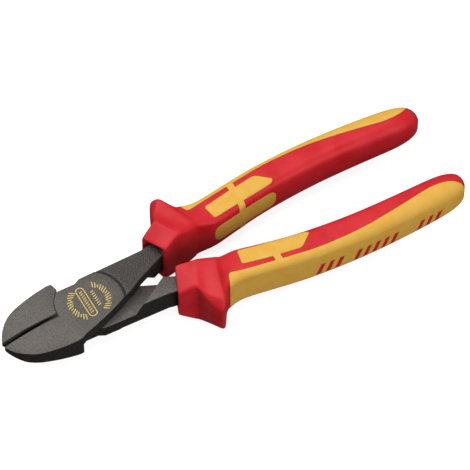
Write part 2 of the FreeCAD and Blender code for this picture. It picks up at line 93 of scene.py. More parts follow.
# Sections of a grip: x, y, turn about Z in degrees, half width, half height on the inner side,
# half height on the outer side, corner radius.
GRIP_SECTIONS = [
    (79.3, 11.7, 22.0, 3.6, 8.9, 7.6, 1.6),
    (73.2, 10.2, 22.0, 4.2, 8.9, 6.6, 1.6),
    (72.7, 10.0, 22.0, 4.9, 9.6, 7.0, 2.0),
    (72.6, 10.0, 22.0, 6.0, 10.5, 7.5, 1.5),
    (73.1, 10.1, 22.0, 6.3, 10.9, 7.9, 1.3),
    (76.5, 11.4, 22.0, 6.25, 12.1, 10.2, 1.3),
    (79.6, 12.5, 22.0, 6.2, 13.3, 12.3, 1.3),
    (80.6, 13.2, 22.0, 7.0, 13.5, 11.6, 1.8),
    (82.2, 15.4, 22.0, 9.0, 13.4, 9.8, 2.6),
    (83.8, 17.3, 21.5, 10.7, 13.2, 9.8, 3.4),
    (85.3, 19.0, 21.3, 12.1, 13.2, 10.4, 4.2),
    (86.4, 19.5, 21.3, 12.4, 13.1, 10.6, 4.4),
    (87.3, 18.8, 21.3, 11.4, 12.7, 10.1, 4.0),
    (88.9, 17.4, 21.0, 9.5, 11.9, 9.3, 3.2),
    (90.6, 16.0, 20.4, 8.2, 11.3, 9.0, 3.2),
    (93.0, 15.1, 19.4, 7.6, 10.6, 9.1, 3.0),
    (96.0, 14.4, 17.6, 7.3, 9.9, 9.2, 3.0),
    (99.5, 14.1, 15.8, 7.15, 9.3, 9.2, 3.1),
    (110.0, 16.1, 12.0, 6.9, 9.1, 9.1, 3.3),
    (120.0, 17.9, 8.6, 6.85, 9.1, 9.1, 3.5),
    (130.0, 19.2, 6.0, 6.85, 9.1, 9.1, 3.8),
    (150.0, 20.6, 1.0, 6.75, 9.15, 9.15, 4.4),
    (170.0, 20.3, -2.0, 6.65, 9.1, 9.1, 4.9),
    (184.0, 19.7, -3.2, 6.6, 8.9, 8.9, 5.3),
    (191.0, 19.3, -4.0, 6.4, 8.5, 8.5, 5.4),
    (196.0, 19.1, -3.0, 5.6, 7.5, 7.5, 5.0),
    (198.8, 18.9, -1.0, 4.2, 6.0, 6.0, 3.9),
    (200.1, 18.8, 0.0, 2.2, 3.8, 3.8, 2.0),
]
CORNER_SEGMENTS = 6
RING_POINTS = 4 * (CORNER_SEGMENTS + 1)

# How far back the flange's upper and lower outer corners are bowed, by section x.
FLANGE_BOW = {82.2: 0.3, 83.8: 1.2, 85.3: 2.0, 86.4: 2.3, 87.3: 2.2, 88.9: 1.5, 90.6: 0.7}
# The bow starts at this share of the half height. The outer end is squashed in height from this
# share of the half width, by this much for each millimetre of bow.
BOW_FROM_HEIGHT = 0.45
SQUASH_FROM_WIDTH = 0.4
SQUASH_PER_BOW = 0.085

# The grip's middle line in plan at the places that the soft fields follow: x, y.
MIDDLE_LINE = [
    (99.0, 14.0), (110.0, 16.1), (130.0, 19.2), (150.0, 20.6), (170.0, 20.3), (189.5, 19.3),
    (197.3, 19.0), (200.0, 18.8),
]

# Inner edge of the soft outer strip: x, offset from the middle line, corner rounding.
STRIP_EDGE = [
    (99.0, 4.6, 0.0), (110.0, 4.3, 3.0), (130.0, 4.2, 6.0), (150.0, 3.2, 8.0),
    (170.0, 1.0, 8.0), (186.0, -0.8, 4.0), (193.5, 0.6, 1.6),
]

# The soft fields stand this much proud of the hard body, reach this deep, and lie in pockets with
# this much room all round.
FIELD_RISE = 0.12
FIELD_DEPTH = 1.3
FIELD_MARGIN = 0.14

# Cross bridge between the soft fields: from x, to x.
BRIDGE = (112.0, 115.0)

# The row of plain bars in the soft strip: first x, pitch, and the steps that carry a bar.
BAR_START = 129.0
BAR_PITCH = 4.19
BAR_STEPS = (0, 1, 2, 4, 5, 6, 7, 8, 11, 12, 13)

# The ground V along the closed cutting edges: x, height of the jaw's face there, width factor.
EDGE_STATIONS = [
    (-1.5, 0.6, 1.15), (0.0, 1.3, 1.12), (4.0, 2.55, 1.1), (8.0, 3.5, 1.05), (12.0, 4.3, 0.95),
    (16.0, 4.9, 0.75), (20.0, 5.3, 0.45), (24.4, 5.5, 0.06),
]
# The V's depth below the face, its tool's rise above it, and half its width for a factor of 1.
GROOVE_DEPTH = 1.3
GROOVE_RISE = 1.56
GROOVE_SPREAD = 2.2

# Width of the broken edges of the steel.
STEEL_EDGE = 0.32

# Printed marks: half the ink's thickness, the badge's length, width, stroke and shift along x, the
# straight rows of short strokes (shift, how many) with their pitch, and the degrees that the two
# arcs of strokes cover together.
INK = 0.03
BADGE_LENGTH = 15.0
BADGE_WIDTH = 3.7
BADGE_STROKE = 0.42
BADGE_SHIFT = -1.3
STROKE_ROWS = ((BADGE_SHIFT, 10), (2.9, 7))
STROKE_PITCH = 1.15
PRINT_SWEEP = 236.0


def middle(x):
    """The grip's middle line at x."""
    for (x0, y0), (x1, y1) in zip(MIDDLE_LINE, MIDDLE_LINE[1:]):
        if x <= x1:
            return y0 + (y1 - y0) * (x - x0) / (x1 - x0)
    return MIDDLE_LINE[-1][1]


def place(x, y, z):
    """A point of the front lever's own drawing, in metres in the tool's frame."""
    return Vector(((x - HALF_LENGTH) * MM, y * MM, (z + PLANE) * MM))


def clear_selection():
    if bpy.context.object and bpy.context.object.mode != "OBJECT":
        bpy.ops.object.mode_set(mode="OBJECT")
    bpy.ops.object.select_all(action="DESELECT")


def activate(piece):
    clear_selection()
    piece.select_set(True)
    bpy.context.view_layer.objects.active = piece


def edit(piece):
    activate(piece)
    bpy.ops.object.mode_set(mode="EDIT")


def leave():
    bpy.ops.object.mode_set(mode="OBJECT")


def select_where(piece, kind, test):
    """In edit mode, select only the vertices, edges or faces that pass a test."""
    bpy.ops.mesh.select_mode(type=kind)
    bpy.ops.mesh.select_all(action="DESELECT")
    mesh = bmesh.from_edit_mesh(piece.data)
    items = {"VERT": mesh.verts, "EDGE": mesh.edges, "FACE": mesh.faces}[kind]
    items.ensure_lookup_table()
    mesh.verts.index_update()
    for item in items:
        if test(item):
            item.select_set(True)
    mesh.select_flush_mode()
    bmesh.update_edit_mesh(piece.data)


def apply_place(piece):
    activate(piece)
    bpy.ops.object.transform_apply(location=True, rotation=True, scale=True)


def copy_of(source, name):
    """A copy with a mesh of its own."""
    piece = source.copy()
    piece.data = source.data.copy()
    piece.name = name
    piece.data.name = name
    bpy.context.scene.collection.objects.link(piece)
    for modifier in list(piece.modifiers):
        piece.modifiers.remove(modifier)
    return piece


def turned_copy(source, name):
    """The same piece for the rear half: turned half a turn about the tool's axis."""
    piece = copy_of(source, name)
    turn = Matrix.Rotation(math.pi, 4, "X")
    piece.matrix_world = Matrix.Translation(TOOL_AXIS) @ turn @ Matrix.Translation(-TOOL_AXIS)
    apply_place(piece)
    return piece


def modify(piece, kind, **settings):
    """Add one modifier and apply it."""
    activate(piece)
    modifier = piece.modifiers.new(kind.title(), kind)
    for key, value in settings.items():
        setattr(modifier, key, value)
    bpy.ops.object.modifier_apply(modifier=modifier.name)


def carve(piece, tool, operation):
    """Cut, join or intersect a piece with a tool, which stays as it was."""
    modify(piece, "BOOLEAN", operation=operation, object=tool, solver="EXACT")
    if not piece.data.polygons:
        raise RuntimeError(f"{operation} with {tool.name} left nothing of {piece.name}")


def discard(*pieces):
    for piece in pieces:
        bpy.data.objects.remove(piece)


def smooth(piece, degrees=32.0):
    activate(piece)
    bpy.ops.object.shade_smooth_by_angle(angle=math.radians(degrees))


def finish_piece(piece, body, nodes, materials):
    """Give a piece its materials and tell the frame what it rides on and stands for."""
    piece.data.materials.clear()
    for material in materials:
        piece.data.materials.append(material)
    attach(piece, body)
    if nodes:
        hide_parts(*nodes)


def start_at(name, point):
    """A new piece of one vertex, in edit mode: a tiny plane merged into its centre."""
    clear_selection()
    bpy.ops.mesh.primitive_plane_add(size=MM, location=point)
    piece = bpy.context.object
    piece.name = name
    apply_place(piece)
    edit(piece)
    bpy.ops.mesh.select_mode(type="VERT")
    bpy.ops.mesh.select_all(action="SELECT")
    bpy.ops.mesh.merge(type="CENTER")
    return piece


def rounded_all(radius):
    """The same rounding for all four corners of an outline."""
    return dict.fromkeys(range(4), radius)


def drawn_prism(name, corners, low, high, view="TOP", rounding=None):
    """A block over an outline drawn from the top or the side, with some corners rounded."""
    if view == "TOP":
        spots = [place(u, v, low) for u, v in corners]
        rise = Vector((0.0, 0.0, (high - low) * MM))
    else:
        spots = [place(u, low, v) for u, v in corners]
        rise = Vector((0.0, (high - low) * MM, 0.0))
    piece = start_at(name, spots[0])
    for start, end in zip(spots, spots[1:]):
        bpy.ops.mesh.extrude_vertices_move(TRANSFORM_OT_translate={"value": end - start})
    bpy.ops.mesh.select_all(action="SELECT")
    bpy.ops.mesh.edge_face_add()
    for number, radius in (rounding or {}).items():
        point = spots[number]
        select_where(piece, "VERT", lambda v: (v.co - point).length < 1e-6)
        bpy.ops.mesh.bevel(
            offset=radius * MM, segments=CORNER_SEGMENTS, affect="VERTICES", clamp_overlap=True
        )
    bpy.ops.mesh.select_mode(type="FACE")
    bpy.ops.mesh.select_all(action="SELECT")
    bpy.ops.mesh.extrude_region_move(TRANSFORM_OT_translate={"value": rise})
    bpy.ops.mesh.select_all(action="SELECT")
    bpy.ops.mesh.normals_make_consistent(inside=False)
    leave()
    return piece


def grown(corners, margin):
    """An outline moved outwards all round by a margin."""
    area = sum(a[0] * b[1] - b[0] * a[1] for a, b in zip(corners, corners[1:] + corners[:1]))
    sign = 1.0 if area > 0 else -1.0
    result = []
    for i, (x, y) in enumerate(corners):
        before = Vector(corners[i - 1])
        after = Vector(corners[(i + 1) % len(corners)])
        here = Vector((x, y))
        first = (here - before).normalized()
        second = (after - here).normalized()
        out_a = Vector((first.y, -first.x)) * sign
        out_b = Vector((second.y, -second.x)) * sign
        bisector = out_a + out_b
        reach = margin * 2.0 / max(bisector.length_squared, 0.4)
        result.append(tuple(here + bisector * reach))
    return result


# ---------------------------------------------------------------- materials


def new_group(name, inputs, outputs):
    """An empty node group with named sockets: name, kind, default."""
    group = bpy.data.node_groups.new(name, "ShaderNodeTree")
    for label, kind, default in inputs:
        socket = group.interface.new_socket(name=label, in_out="INPUT", socket_type=kind)
        if default is not None:
            socket.default_value = default
    for label, kind in outputs:
        group.interface.new_socket(name=label, in_out="OUTPUT", socket_type=kind)
    return group, group.nodes.new("NodeGroupInput"), group.nodes.new("NodeGroupOutput")


def math_node(tree, operation, first, second=None, clamp=False):
    node = tree.nodes.new("ShaderNodeMath")
    node.operation = operation
    node.use_clamp = clamp
    for socket, value in zip(node.inputs, (first, second)):
        if value is None:
            continue
        if isinstance(value, (int, float)):
            socket.default_value = value
        else:
            tree.links.new(value, socket)
    return node.outputs[0]


def ramp(tree, value, low, high):
    """0 below low, 1 above high, smooth between."""
    node = tree.nodes.new("ShaderNodeMapRange")
    node.interpolation_type = "SMOOTHSTEP"
    node.inputs["From Min"].default_value = low
    node.inputs["From Max"].default_value = high
    tree.links.new(value, node.inputs["Value"])
    return node.outputs["Result"]


def mix_colour(tree, amount, first, second):
    node = tree.nodes.new("ShaderNodeMix")
    node.data_type = "RGBA"
    sockets = (node.inputs[0], node.inputs[6], node.inputs[7])
    for socket, value in zip(sockets, (amount, first, second)):
        if isinstance(value, (int, float, tuple)):
            socket.default_value = value
        else:
            tree.links.new(value, socket)
    return node.outputs[2]


def linear(red, green, blue):
    """A screen colour as the shader's linear one."""
    def channel(value):
        value = value / 255.0
        return value / 12.92 if value <= 0.04045 else ((value + 0.055) / 1.055) ** 2.4
    return (channel(red), channel(green), channel(blue), 1.0)


def build_grain_group():
    """Fine surface grain: a height for bump and a mask for colour."""
    group, start, end = new_group(
        "Fine grain",
        [("Scale", "NodeSocketFloat", 900.0), ("Stretch", "NodeSocketVector", (1.0, 1.0, 1.0))],
        [("Height", "NodeSocketFloat"), ("Mottle", "NodeSocketFloat")],
    )
    coordinates = group.nodes.new("ShaderNodeTexCoord")
    stretch = group.nodes.new("ShaderNodeVectorMath")
    stretch.operation = "MULTIPLY"
    group.links.new(coordinates.outputs["Object"], stretch.inputs[0])
    group.links.new(start.outputs["Stretch"], stretch.inputs[1])
    fine = group.nodes.new("ShaderNodeTexNoise")
    fine.inputs["Detail"].default_value = 3.0
    group.links.new(stretch.outputs[0], fine.inputs["Vector"])
    group.links.new(start.outputs["Scale"], fine.inputs["Scale"])
    broad = group.nodes.new("ShaderNodeTexNoise")
    broad.inputs["Detail"].default_value = 2.0
    group.links.new(coordinates.outputs["Object"], broad.inputs["Vector"])
    broad_scale = math_node(group, "MULTIPLY", start.outputs["Scale"], 0.12)
    group.links.new(broad_scale, broad.inputs["Scale"])
    group.links.new(fine.outputs["Fac"], end.inputs["Height"])
    group.links.new(broad.outputs["Fac"], end.inputs["Mottle"])
    return group


def build_marks_group():
    """Faint handling marks: a mask of soft scattered smudges."""
    group, start, end = new_group(
        "Handling marks",
        [("Scale", "NodeSocketFloat", 60.0), ("Amount", "NodeSocketFloat", 0.3)],
        [("Mask", "NodeSocketFloat")],
    )
    coordinates = group.nodes.new("ShaderNodeTexCoord")
    noise = group.nodes.new("ShaderNodeTexNoise")
    noise.inputs["Detail"].default_value = 6.0
    noise.inputs["Roughness"].default_value = 0.65
    group.links.new(coordinates.outputs["Object"], noise.inputs["Vector"])
    group.links.new(start.outputs["Scale"], noise.inputs["Scale"])
    smudge = ramp(group, noise.outputs["Fac"], 0.48, 0.72)
    mask = math_node(group, "MULTIPLY", smudge, start.outputs["Amount"])
    group.links.new(mask, end.inputs["Mask"])
    return group


def new_material(name):
    material = bpy.data.materials.new(name)
    material.use_nodes = True
    tree = material.node_tree
    return material, tree, tree.nodes["Principled BSDF"]


def use_group(tree, name, **values):
    node = tree.nodes.new("ShaderNodeGroup")
    node.node_tree = bpy.data.node_groups[name]
    for key, value in values.items():
        node.inputs[key].default_value = value
    return node


def bump_from(tree, height, shader, strength, distance):
    bump = tree.nodes.new("ShaderNodeBump")
    bump.inputs["Strength"].default_value = strength
    bump.inputs["Distance"].default_value = distance
    tree.links.new(height, bump.inputs["Height"])
    tree.links.new(bump.outputs["Normal"], shader.inputs["Normal"])


def build_forging_and_shade_group():
    """Where the forging is left rough, the painted shade of the step where the ground face ends, and
    the painted shade in the V between the closed cutting edges.

    Side is 1 for the lever whose outer face looks up and -1 for the other.
    """
    group, start, end = new_group(
        "Forged areas",
        [("Joint radius", "NodeSocketFloat", 0.014), ("Side", "NodeSocketFloat", 1.0)],
        [("Rough", "NodeSocketFloat"), ("Line", "NodeSocketFloat"), ("Edge", "NodeSocketFloat")],
    )
    coordinates = group.nodes.new("ShaderNodeTexCoord")
    split = group.nodes.new("ShaderNodeSeparateXYZ")
    group.links.new(coordinates.outputs["Object"], split.inputs[0])
    along = math_node(group, "SUBTRACT", split.outputs["X"], JOINT[0])
    across = split.outputs["Y"]
    squares = [math_node(group, "MULTIPLY", item, item) for item in (along, across)]
    reach = math_node(group, "SQRT", math_node(group, "ADD", *squares))
    past = math_node(group, "SUBTRACT", reach, start.outputs["Joint radius"])
    rough = ramp(group, past, 0.0012, 0.0035)
    above = math_node(group, "SUBTRACT", split.outputs["Z"], PLANE * MM)
    outwards = math_node(group, "MULTIPLY", above, start.outputs["Side"])
    outside = ramp(group, outwards, 0.0035, 0.0045)
    behind = math_node(group, "MULTIPLY", ramp(group, along, 0.0, 0.004), outside)
    group.links.new(math_node(group, "MULTIPLY", rough, behind), end.inputs["Rough"])
    # Painted shade: a thin dark ring where the ground face of the joint steps down to the neck.
    from_line = math_node(group, "ABSOLUTE", math_node(group, "SUBTRACT", past, 0.0005))
    step_shade = ramp(group, from_line, 0.0011, 0.0003)
    group.links.new(math_node(group, "MULTIPLY", step_shade, behind), end.inputs["Line"])
    # Painted shade: a dark strip along the middle of the jaws, in the V between the closed cutting
    # edges.
    groove_shade = ramp(group, math_node(group, "ABSOLUTE", across), 0.00125, 0.00085)
    ahead = ramp(group, along, -0.0135, -0.0145)
    group.links.new(math_node(group, "MULTIPLY", groove_shade, ahead), end.inputs["Edge"])
    return group


def steel_material(name, face, side, polish, grain_strength, upper):
    """Dark satin steel with a fine sparkling grain; faces that look up or down are painted lighter
    and upright sides darker, as painted light and shade.
    """
    material, tree, shader = new_material(name)
    grain = use_group(tree, "Fine grain", Scale=1900.0)
    forging = use_group(tree, "Forged areas", Side=upper)
    marks = use_group(tree, "Handling marks", Scale=90.0, Amount=0.5)
    geometry = tree.nodes.new("ShaderNodeNewGeometry")
    split = tree.nodes.new("ShaderNodeSeparateXYZ")
    tree.links.new(geometry.outputs["Normal"], split.inputs[0])
    # Painted shade: upright sides take the darker side colour and faces that look up or down take the
    # lighter face colour.
    upright = math_node(tree, "ABSOLUTE", split.outputs["Z"])
    flat = ramp(tree, upright, 0.5, 0.95)
    base = mix_colour(tree, flat, side, face)
    sparkle = ramp(tree, grain.outputs["Height"], 0.38, 0.66)
    dull = tuple(channel * 0.55 for channel in face[:3]) + (1.0,)
    base = mix_colour(tree, math_node(tree, "MULTIPLY", sparkle, 0.8), base, dull)
    pits = tree.nodes.new("ShaderNodeTexVoronoi")
    pits.inputs["Scale"].default_value = 1250.0
    coordinates = tree.nodes.new("ShaderNodeTexCoord")
    tree.links.new(coordinates.outputs["Object"], pits.inputs["Vector"])
    pitted = ramp(tree, pits.outputs["Distance"], 0.15, 0.6)
    dark = tuple(channel * 0.5 for channel in face[:3]) + (1.0,)
    rough_area = math_node(tree, "MULTIPLY", forging.outputs["Rough"], pitted)
    base = mix_colour(tree, math_node(tree, "MULTIPLY", rough_area, 0.75), base, dark)
    # Painted shade of the step round the ground face of the joint.
    base = mix_colour(tree, forging.outputs["Line"], base, linear(34, 33, 32))
    # Painted shade in the V between the closed cutting edges.
    base = mix_colour(tree, forging.outputs["Edge"], base, linear(30, 28, 26))
    tree.links.new(base, shader.inputs["Base Color"])
    shader.inputs["Metallic"].default_value = 0.5
    shader.inputs["Specular IOR Level"].default_value = 0.3
    rough = math_node(tree, "ADD", math_node(tree, "MULTIPLY", marks.outputs["Mask"], 0.12), polish)
    rough = math_node(tree, "ADD", rough, math_node(tree, "MULTIPLY", rough_area, 0.15))
    tree.links.new(rough, shader.inputs["Roughness"])
    pit_depth = math_node(tree, "MULTIPLY", rough_area, 2.0)
    relief = math_node(tree, "SUBTRACT", grain.outputs["Height"], pit_depth)
    bump_from(tree, relief, shader, grain_strength, 0.0002)
    return material


def plastic_material(name, light, deep, roughness, grain_scale, grain_strength, gloss):
    """Moulded plastic or elastomer: slight colour variation and a fine moulded grain."""
    material, tree, shader = new_material(name)
    grain = use_group(tree, "Fine grain", Scale=grain_scale)
    marks = use_group(tree, "Handling marks", Scale=45.0, Amount=1.0)
    tint = mix_colour(tree, ramp(tree, grain.outputs["Mottle"], 0.3, 0.75), light, deep)
    tree.links.new(tint, shader.inputs["Base Color"])
    rough = math_node(tree, "ADD", math_node(tree, "MULTIPLY", marks.outputs["Mask"], 0.1), roughness)
    tree.links.new(rough, shader.inputs["Roughness"])
    shader.inputs["Specular IOR Level"].default_value = gloss
    bump_from(tree, grain.outputs["Height"], shader, grain_strength, 0.0002)
    return material


def build_materials(sizes):
    build_grain_group()
    build_marks_group()
    build_forging_and_shade_group()
    for side, upper in (("front", 1.0), ("rear", -1.0)):
        # The second colour of each steel is the painted shade of its upright sides.
        steel_material(
            f"satin_steel_{side}", linear(84, 80, 76), linear(31, 30, 29), 0.45, 0.6, upper
        )
        steel_material(
            f"edge_steel_{side}", linear(104, 99, 93), linear(46, 44, 43), 0.42, 0.2, upper
        )
    plastic_material(
        "red_plastic", tuple(sizes.red) + (1.0,), linear(172, 14, 24), 0.42, 900.0, 0.12, 0.2
    )
    plastic_material(
        "yellow_elastomer", tuple(sizes.yellow) + (1.0,), linear(196, 147, 56),
        0.6, 1500.0, 0.3, 0.15
    )
    _, tree, shader = new_material("gold_ink")
    grain = use_group(tree, "Fine grain", Scale=2200.0)
    wear = ramp(tree, grain.outputs["Height"], 0.45, 0.7)
    worn = mix_colour(tree, wear, linear(186, 162, 84), linear(140, 122, 70))
    tree.links.new(worn, shader.inputs["Base Color"])
    rough = math_node(tree, "ADD", grain.outputs["Height"], 0.15)
    tree.links.new(rough, shader.inputs["Roughness"])


# ---------------------------------------------------------------- grips


def add_ring(piece, section):
    """Add one rounded section to the mesh being edited, and return how many vertices it has now."""
    x, y, turn, width, inner, outer, corner = section
    slant = math.radians(turn)
    centre = place(x, y, 0.0)
    across = Vector((-math.sin(slant), math.cos(slant), 0.0))
    bpy.ops.mesh.primitive_plane_add(
        size=2.0, location=centre, rotation=(math.pi / 2, 0.0, math.pi / 2)
    )
    bpy.ops.transform.resize(value=(1.0, width * MM, inner * MM), center_override=centre)
    mesh = bmesh.from_edit_mesh(piece.data)
    for vertex in [v for v in mesh.verts if v.select]:
        offset = vertex.co - centre
        height = offset.z * (outer / inner if offset.y > 0 else 1.0)
        vertex.co = centre + across * offset.y + Vector((0.0, 0.0, height))
    bmesh.update_edit_mesh(piece.data)
    bpy.ops.mesh.bevel(
        offset=corner * MM, segments=CORNER_SEGMENTS, affect="VERTICES", profile=0.5,
        clamp_overlap=False
    )
    bow = FLANGE_BOW.get(x, 0.0)
    mesh = bmesh.from_edit_mesh(piece.data)
    for vertex in [v for v in mesh.verts if v.select]:
        offset = vertex.co - centre
        height = abs(offset.z) / (outer * MM)
        outwards = offset.dot(across) / (width * MM)
        rise = max(0.0, height - BOW_FROM_HEIGHT) / (1.0 - BOW_FROM_HEIGHT)
        vertex.co.x += bow * MM * min(rise, 1.0) * max(0.0, outwards + 0.1) / 1.1
        tip = max(0.0, outwards - SQUASH_FROM_WIDTH) / (1.0 - SQUASH_FROM_WIDTH)
        vertex.co.z -= offset.z * SQUASH_PER_BOW * bow * min(tip, 1.0) ** 2
    bmesh.update_edit_mesh(piece.data)
    bpy.ops.mesh.delete(type="ONLY_FACE")
    return len(bmesh.from_edit_mesh(piece.data).verts)


def grip_form(name):
    """The outside of one grip: rounded sections set along it and bridged."""
    clear_selection()
    bpy.ops.mesh.primitive_plane_add(size=2.0 * MM, location=(0, 0, 0))
    piece = bpy.context.object
    piece.name = name
    edit(piece)
    bpy.ops.mesh.delete(type="VERT")
    counts = [0] + [add_ring(piece, section) for section in GRIP_SECTIONS]
    for bounds in zip(counts, counts[1:], counts[2:]):

        def in_one_ring(edge):
            first, second = (v.index for v in edge.verts)
            for low, high in zip(bounds, bounds[1:]):
                if low <= first < high and low <= second < high:
                    return True
            return False

        select_where(piece, "EDGE", in_one_ring)
        bpy.ops.mesh.bridge_edge_loops()
    for x, y, *_ in (GRIP_SECTIONS[0], GRIP_SECTIONS[-1]):
        centre = place(x, y, 0.0)

        def at_this_end(edge):
            return edge.is_boundary and (edge.verts[0].co - centre).length < 0.02

        select_where(piece, "EDGE", at_this_end)
        bpy.ops.mesh.fill_grid(span=RING_POINTS // 4)
    bpy.ops.mesh.select_all(action="SELECT")
    bpy.ops.mesh.normals_make_consistent(inside=False)
    leave()
    modify(piece, "SUBSURF", levels=2, render_levels=2)
    return piece


def inflated(source, name, amount):
    """A copy moved in or out all over by an amount in millimetres."""
    piece = copy_of(source, name)
    edit(piece)
    bpy.ops.mesh.select_all(action="SELECT")
    bpy.ops.transform.shrink_fatten(value=amount * MM)
    leave()
    return piece


def strip_outline(margin):
    """The soft outer strip from above, and the rounding of its corners."""
    corners = [(92.2, 17.3)]
    rounding = {0: 1.2}
    for x, offset, radius in STRIP_EDGE:
        if radius:
            rounding[len(corners)] = radius
        corners.append((x, middle(x) + offset))
    corners += [(197.6, 21.9), (203.0, 28.0), (203.0, 40.0), (83.6, 40.0)]
    return grown(corners, margin) if margin else corners, rounding


def field_outline(margin):
    """The top or bottom soft field from above, and the rounding of its corners."""
    corners = [
        (99.2, middle(99.2) + 1.8), (100.4, middle(100.4) - 5.0), (110.0, middle(110) - 5.2),
        (129.4, middle(129.4) - 5.2), (130.4, middle(130.4) - 4.0), (124.4, middle(124.4) + 1.9),
        (110.0, middle(110) + 1.9),
    ]
    rounding = {0: 0.9, 1: 0.9, 3: 1.0, 4: 1.0, 5: 1.6}
    return grown(corners, margin) if margin else corners, rounding


def bridge_outline(margin):
    """The cross bridge from above, long enough to reach past both sides."""
    start, end = BRIDGE
    return [
        (start - margin, middle(start) - 12.0), (end + margin, middle(end) - 12.0),
        (end + margin, middle(end) + 9.0), (start - margin, middle(start) + 9.0),
    ]


def side_outline(margin):
    """The inner soft field from the side, and the rounding of its corners."""
    corners = [(99.6, -4.7), (130.4, -4.7), (130.4, 4.7), (99.6, 4.7)]
    return grown(corners, margin) if margin else corners, rounded_all(3.4)


def mark_outlines(margin):
    """Plain slanted bars in a row along the strip."""
    outlines = []
    for step in BAR_STEPS:
        left = BAR_START + BAR_PITCH * step
        corners = [(left + 1.1, -0.4), (left + 3.2, -0.4), (left + 0.8, 6.4), (left - 1.3, 6.4)]
        outlines.append(grown(corners, margin) if margin else corners)
    return outlines


def field_tools(margin):
    """Cutting blocks of the soft fields, each grown by a margin: strip, top, bottom, inner."""
    outline, rounding = strip_outline(margin)
    strip = drawn_prism("strip_tool", outline, -20.0, 20.0, rounding=rounding)
    whole_strip = copy_of(strip, "whole_strip")
    for number, corners in enumerate(mark_outlines(-margin)):
        bar = drawn_prism(f"bar_tool_{number}", corners, 12.0, 34.0, view="SIDE")
        carve(strip, bar, "DIFFERENCE")
        discard(bar)
    fields = []
    for sign in (1, -1):
        outline, rounding = field_outline(margin)
        low, high = sorted((5.6 * sign, 20.0 * sign))
        field = drawn_prism("field_tool", outline, low, high, rounding=rounding)
        low, high = sorted(((4.4 - margin) * sign, 20.0 * sign))
        bridge = drawn_prism("bridge_tool", bridge_outline(margin), low, high)
        carve(field, bridge, "UNION")
        discard(bridge)
        carve(field, whole_strip, "DIFFERENCE")
        fields.append(field)
    discard(whole_strip)
    outline, rounding = side_outline(margin)
    side = drawn_prism("side_tool", outline, -5.0, 17.0, view="SIDE", rounding=rounding)
    return [strip] + fields + [side]


class PLIERS_OT_grips(bpy.types.Operator):
    """Build both grips: the hard red bodies and their soft yellow fields"""
    bl_idname = "pliers.grips"
    bl_label = "Grips"

    def execute(self, context):
        form = grip_form("grip_form")
        proud = inflated(form, "proud_form", FIELD_RISE)
        core = inflated(form, "core_form", -FIELD_DEPTH)
        soft = []
        for tool, part in zip(field_tools(0.0), ("outer", "top", "bottom", "inner")):
            piece = copy_of(proud, f"front_{part}_field")
            carve(piece, tool, "INTERSECT")
            carve(piece, core, "DIFFERENCE")
            discard(tool)
            soft.append(piece)
        hard = copy_of(form, "front_grip")
        for tool in field_tools(FIELD_MARGIN):
            carve(tool, core, "DIFFERENCE")
            carve(hard, tool, "DIFFERENCE")
            discard(tool)
        discard(form, proud, core)
        red = bpy.data.materials["red_plastic"]
        yellow = bpy.data.materials["yellow_elastomer"]
        pieces = [(hard, "grip_body", "hard_red", red)]
        for piece, part in zip(soft, ("outer", "top", "bottom", "inner")):
            pieces.append((piece, f"{part}_inlay", "soft_yellow", yellow))
        swap = {"top_inlay": "bottom_inlay", "bottom_inlay": "top_inlay"}
        for piece, node, slot, material in pieces:
            smooth(piece)
            rear_node = swap.get(node, node)
            rear = turned_copy(piece, "rear" + piece.name[5:])
            finish_piece(piece, "front_half", [f"front_{node}"], [material])
            finish_piece(rear, "rear_half", [f"rear_{rear_node}"], [material])
        return {"FINISHED"}


# ---------------------------------------------------------------- levers


def edge_groove(name, side):
    """The tool that grinds the V along the closed cutting edges, on one face (1 or -1)."""
    loops = []
    for x, top, width in EDGE_STATIONS:
        spread = width * GROOVE_SPREAD
        rim = (top + GROOVE_RISE) * side
        loops.append([
            place(x, 0.0, (top - GROOVE_DEPTH) * side), place(x, spread, rim), place(x, -spread, rim)
        ])
    return bridged(name, loops)


def bridged(name, loops):
    """A closed shape over a row of loops with the same number of corners."""
    piece = start_at(name, loops[0][0])
    for number, loop in enumerate(loops):
        if number:
            bpy.ops.mesh.select_all(action="DESELECT")
            bpy.ops.mesh.primitive_plane_add(size=MM, location=loop[0])
            bpy.ops.mesh.merge(type="CENTER")
        last = loop[0]
        for point in loop[1:]:
            bpy.ops.mesh.extrude_vertices_move(TRANSFORM_OT_translate={"value": point - last})
            last = point
        bpy.ops.mesh.select_linked()
        bpy.ops.mesh.edge_face_add()
    for first, second in zip(loops, loops[1:]):
        ends = (sum(first, Vector()) / len(first), sum(second, Vector()) / len(second))

        def at_either(face):
            return any((face.calc_center_median() - end).length < 2e-6 for end in ends)

        select_where(piece, "FACE", at_either)
        bpy.ops.mesh.bridge_edge_loops()
    bpy.ops.mesh.select_all(action="SELECT")
    bpy.ops.mesh.normals_make_consistent(inside=False)
    leave()
    return piece


class PLIERS_OT_levers(bpy.types.Operator):
    """Build both forged levers from their CAD shapes, with their edges broken"""
    bl_idname = "pliers.levers"
    bl_label = "Levers"

    def execute(self, context):
        for side in ("front", "rear"):
            piece = copy_of(frame["nodes"][f"{side}_lever"], f"{side}_steel")
            edit(piece)
            bpy.ops.mesh.select_all(action="SELECT")
            bpy.ops.mesh.remove_doubles(threshold=1e-6)
            bpy.ops.mesh.dissolve_limited(angle_limit=math.radians(1.0))
            leave()
            for face in (1, -1):
                groove = edge_groove("groove_tool", face)
                carve(piece, groove, "DIFFERENCE")
                discard(groove)
            modify(
                piece, "BEVEL", width=STEEL_EDGE * MM, segments=3, limit_method="ANGLE",
                angle_limit=math.radians(28.0), material=1, use_clamp_overlap=True,
            )
            smooth(piece, 30.0)
            kinds = ("satin_steel", "edge_steel")
            materials = [bpy.data.materials[f"{kind}_{side}"] for kind in kinds]
            finish_piece(piece, f"{side}_half", [f"{side}_lever"], materials)
        rivet = frame["nodes"]["pivot_rivet"]
        rivet.data.materials.clear()
        rivet.data.materials.append(bpy.data.materials["satin_steel_front"])
        return {"FINISHED"}


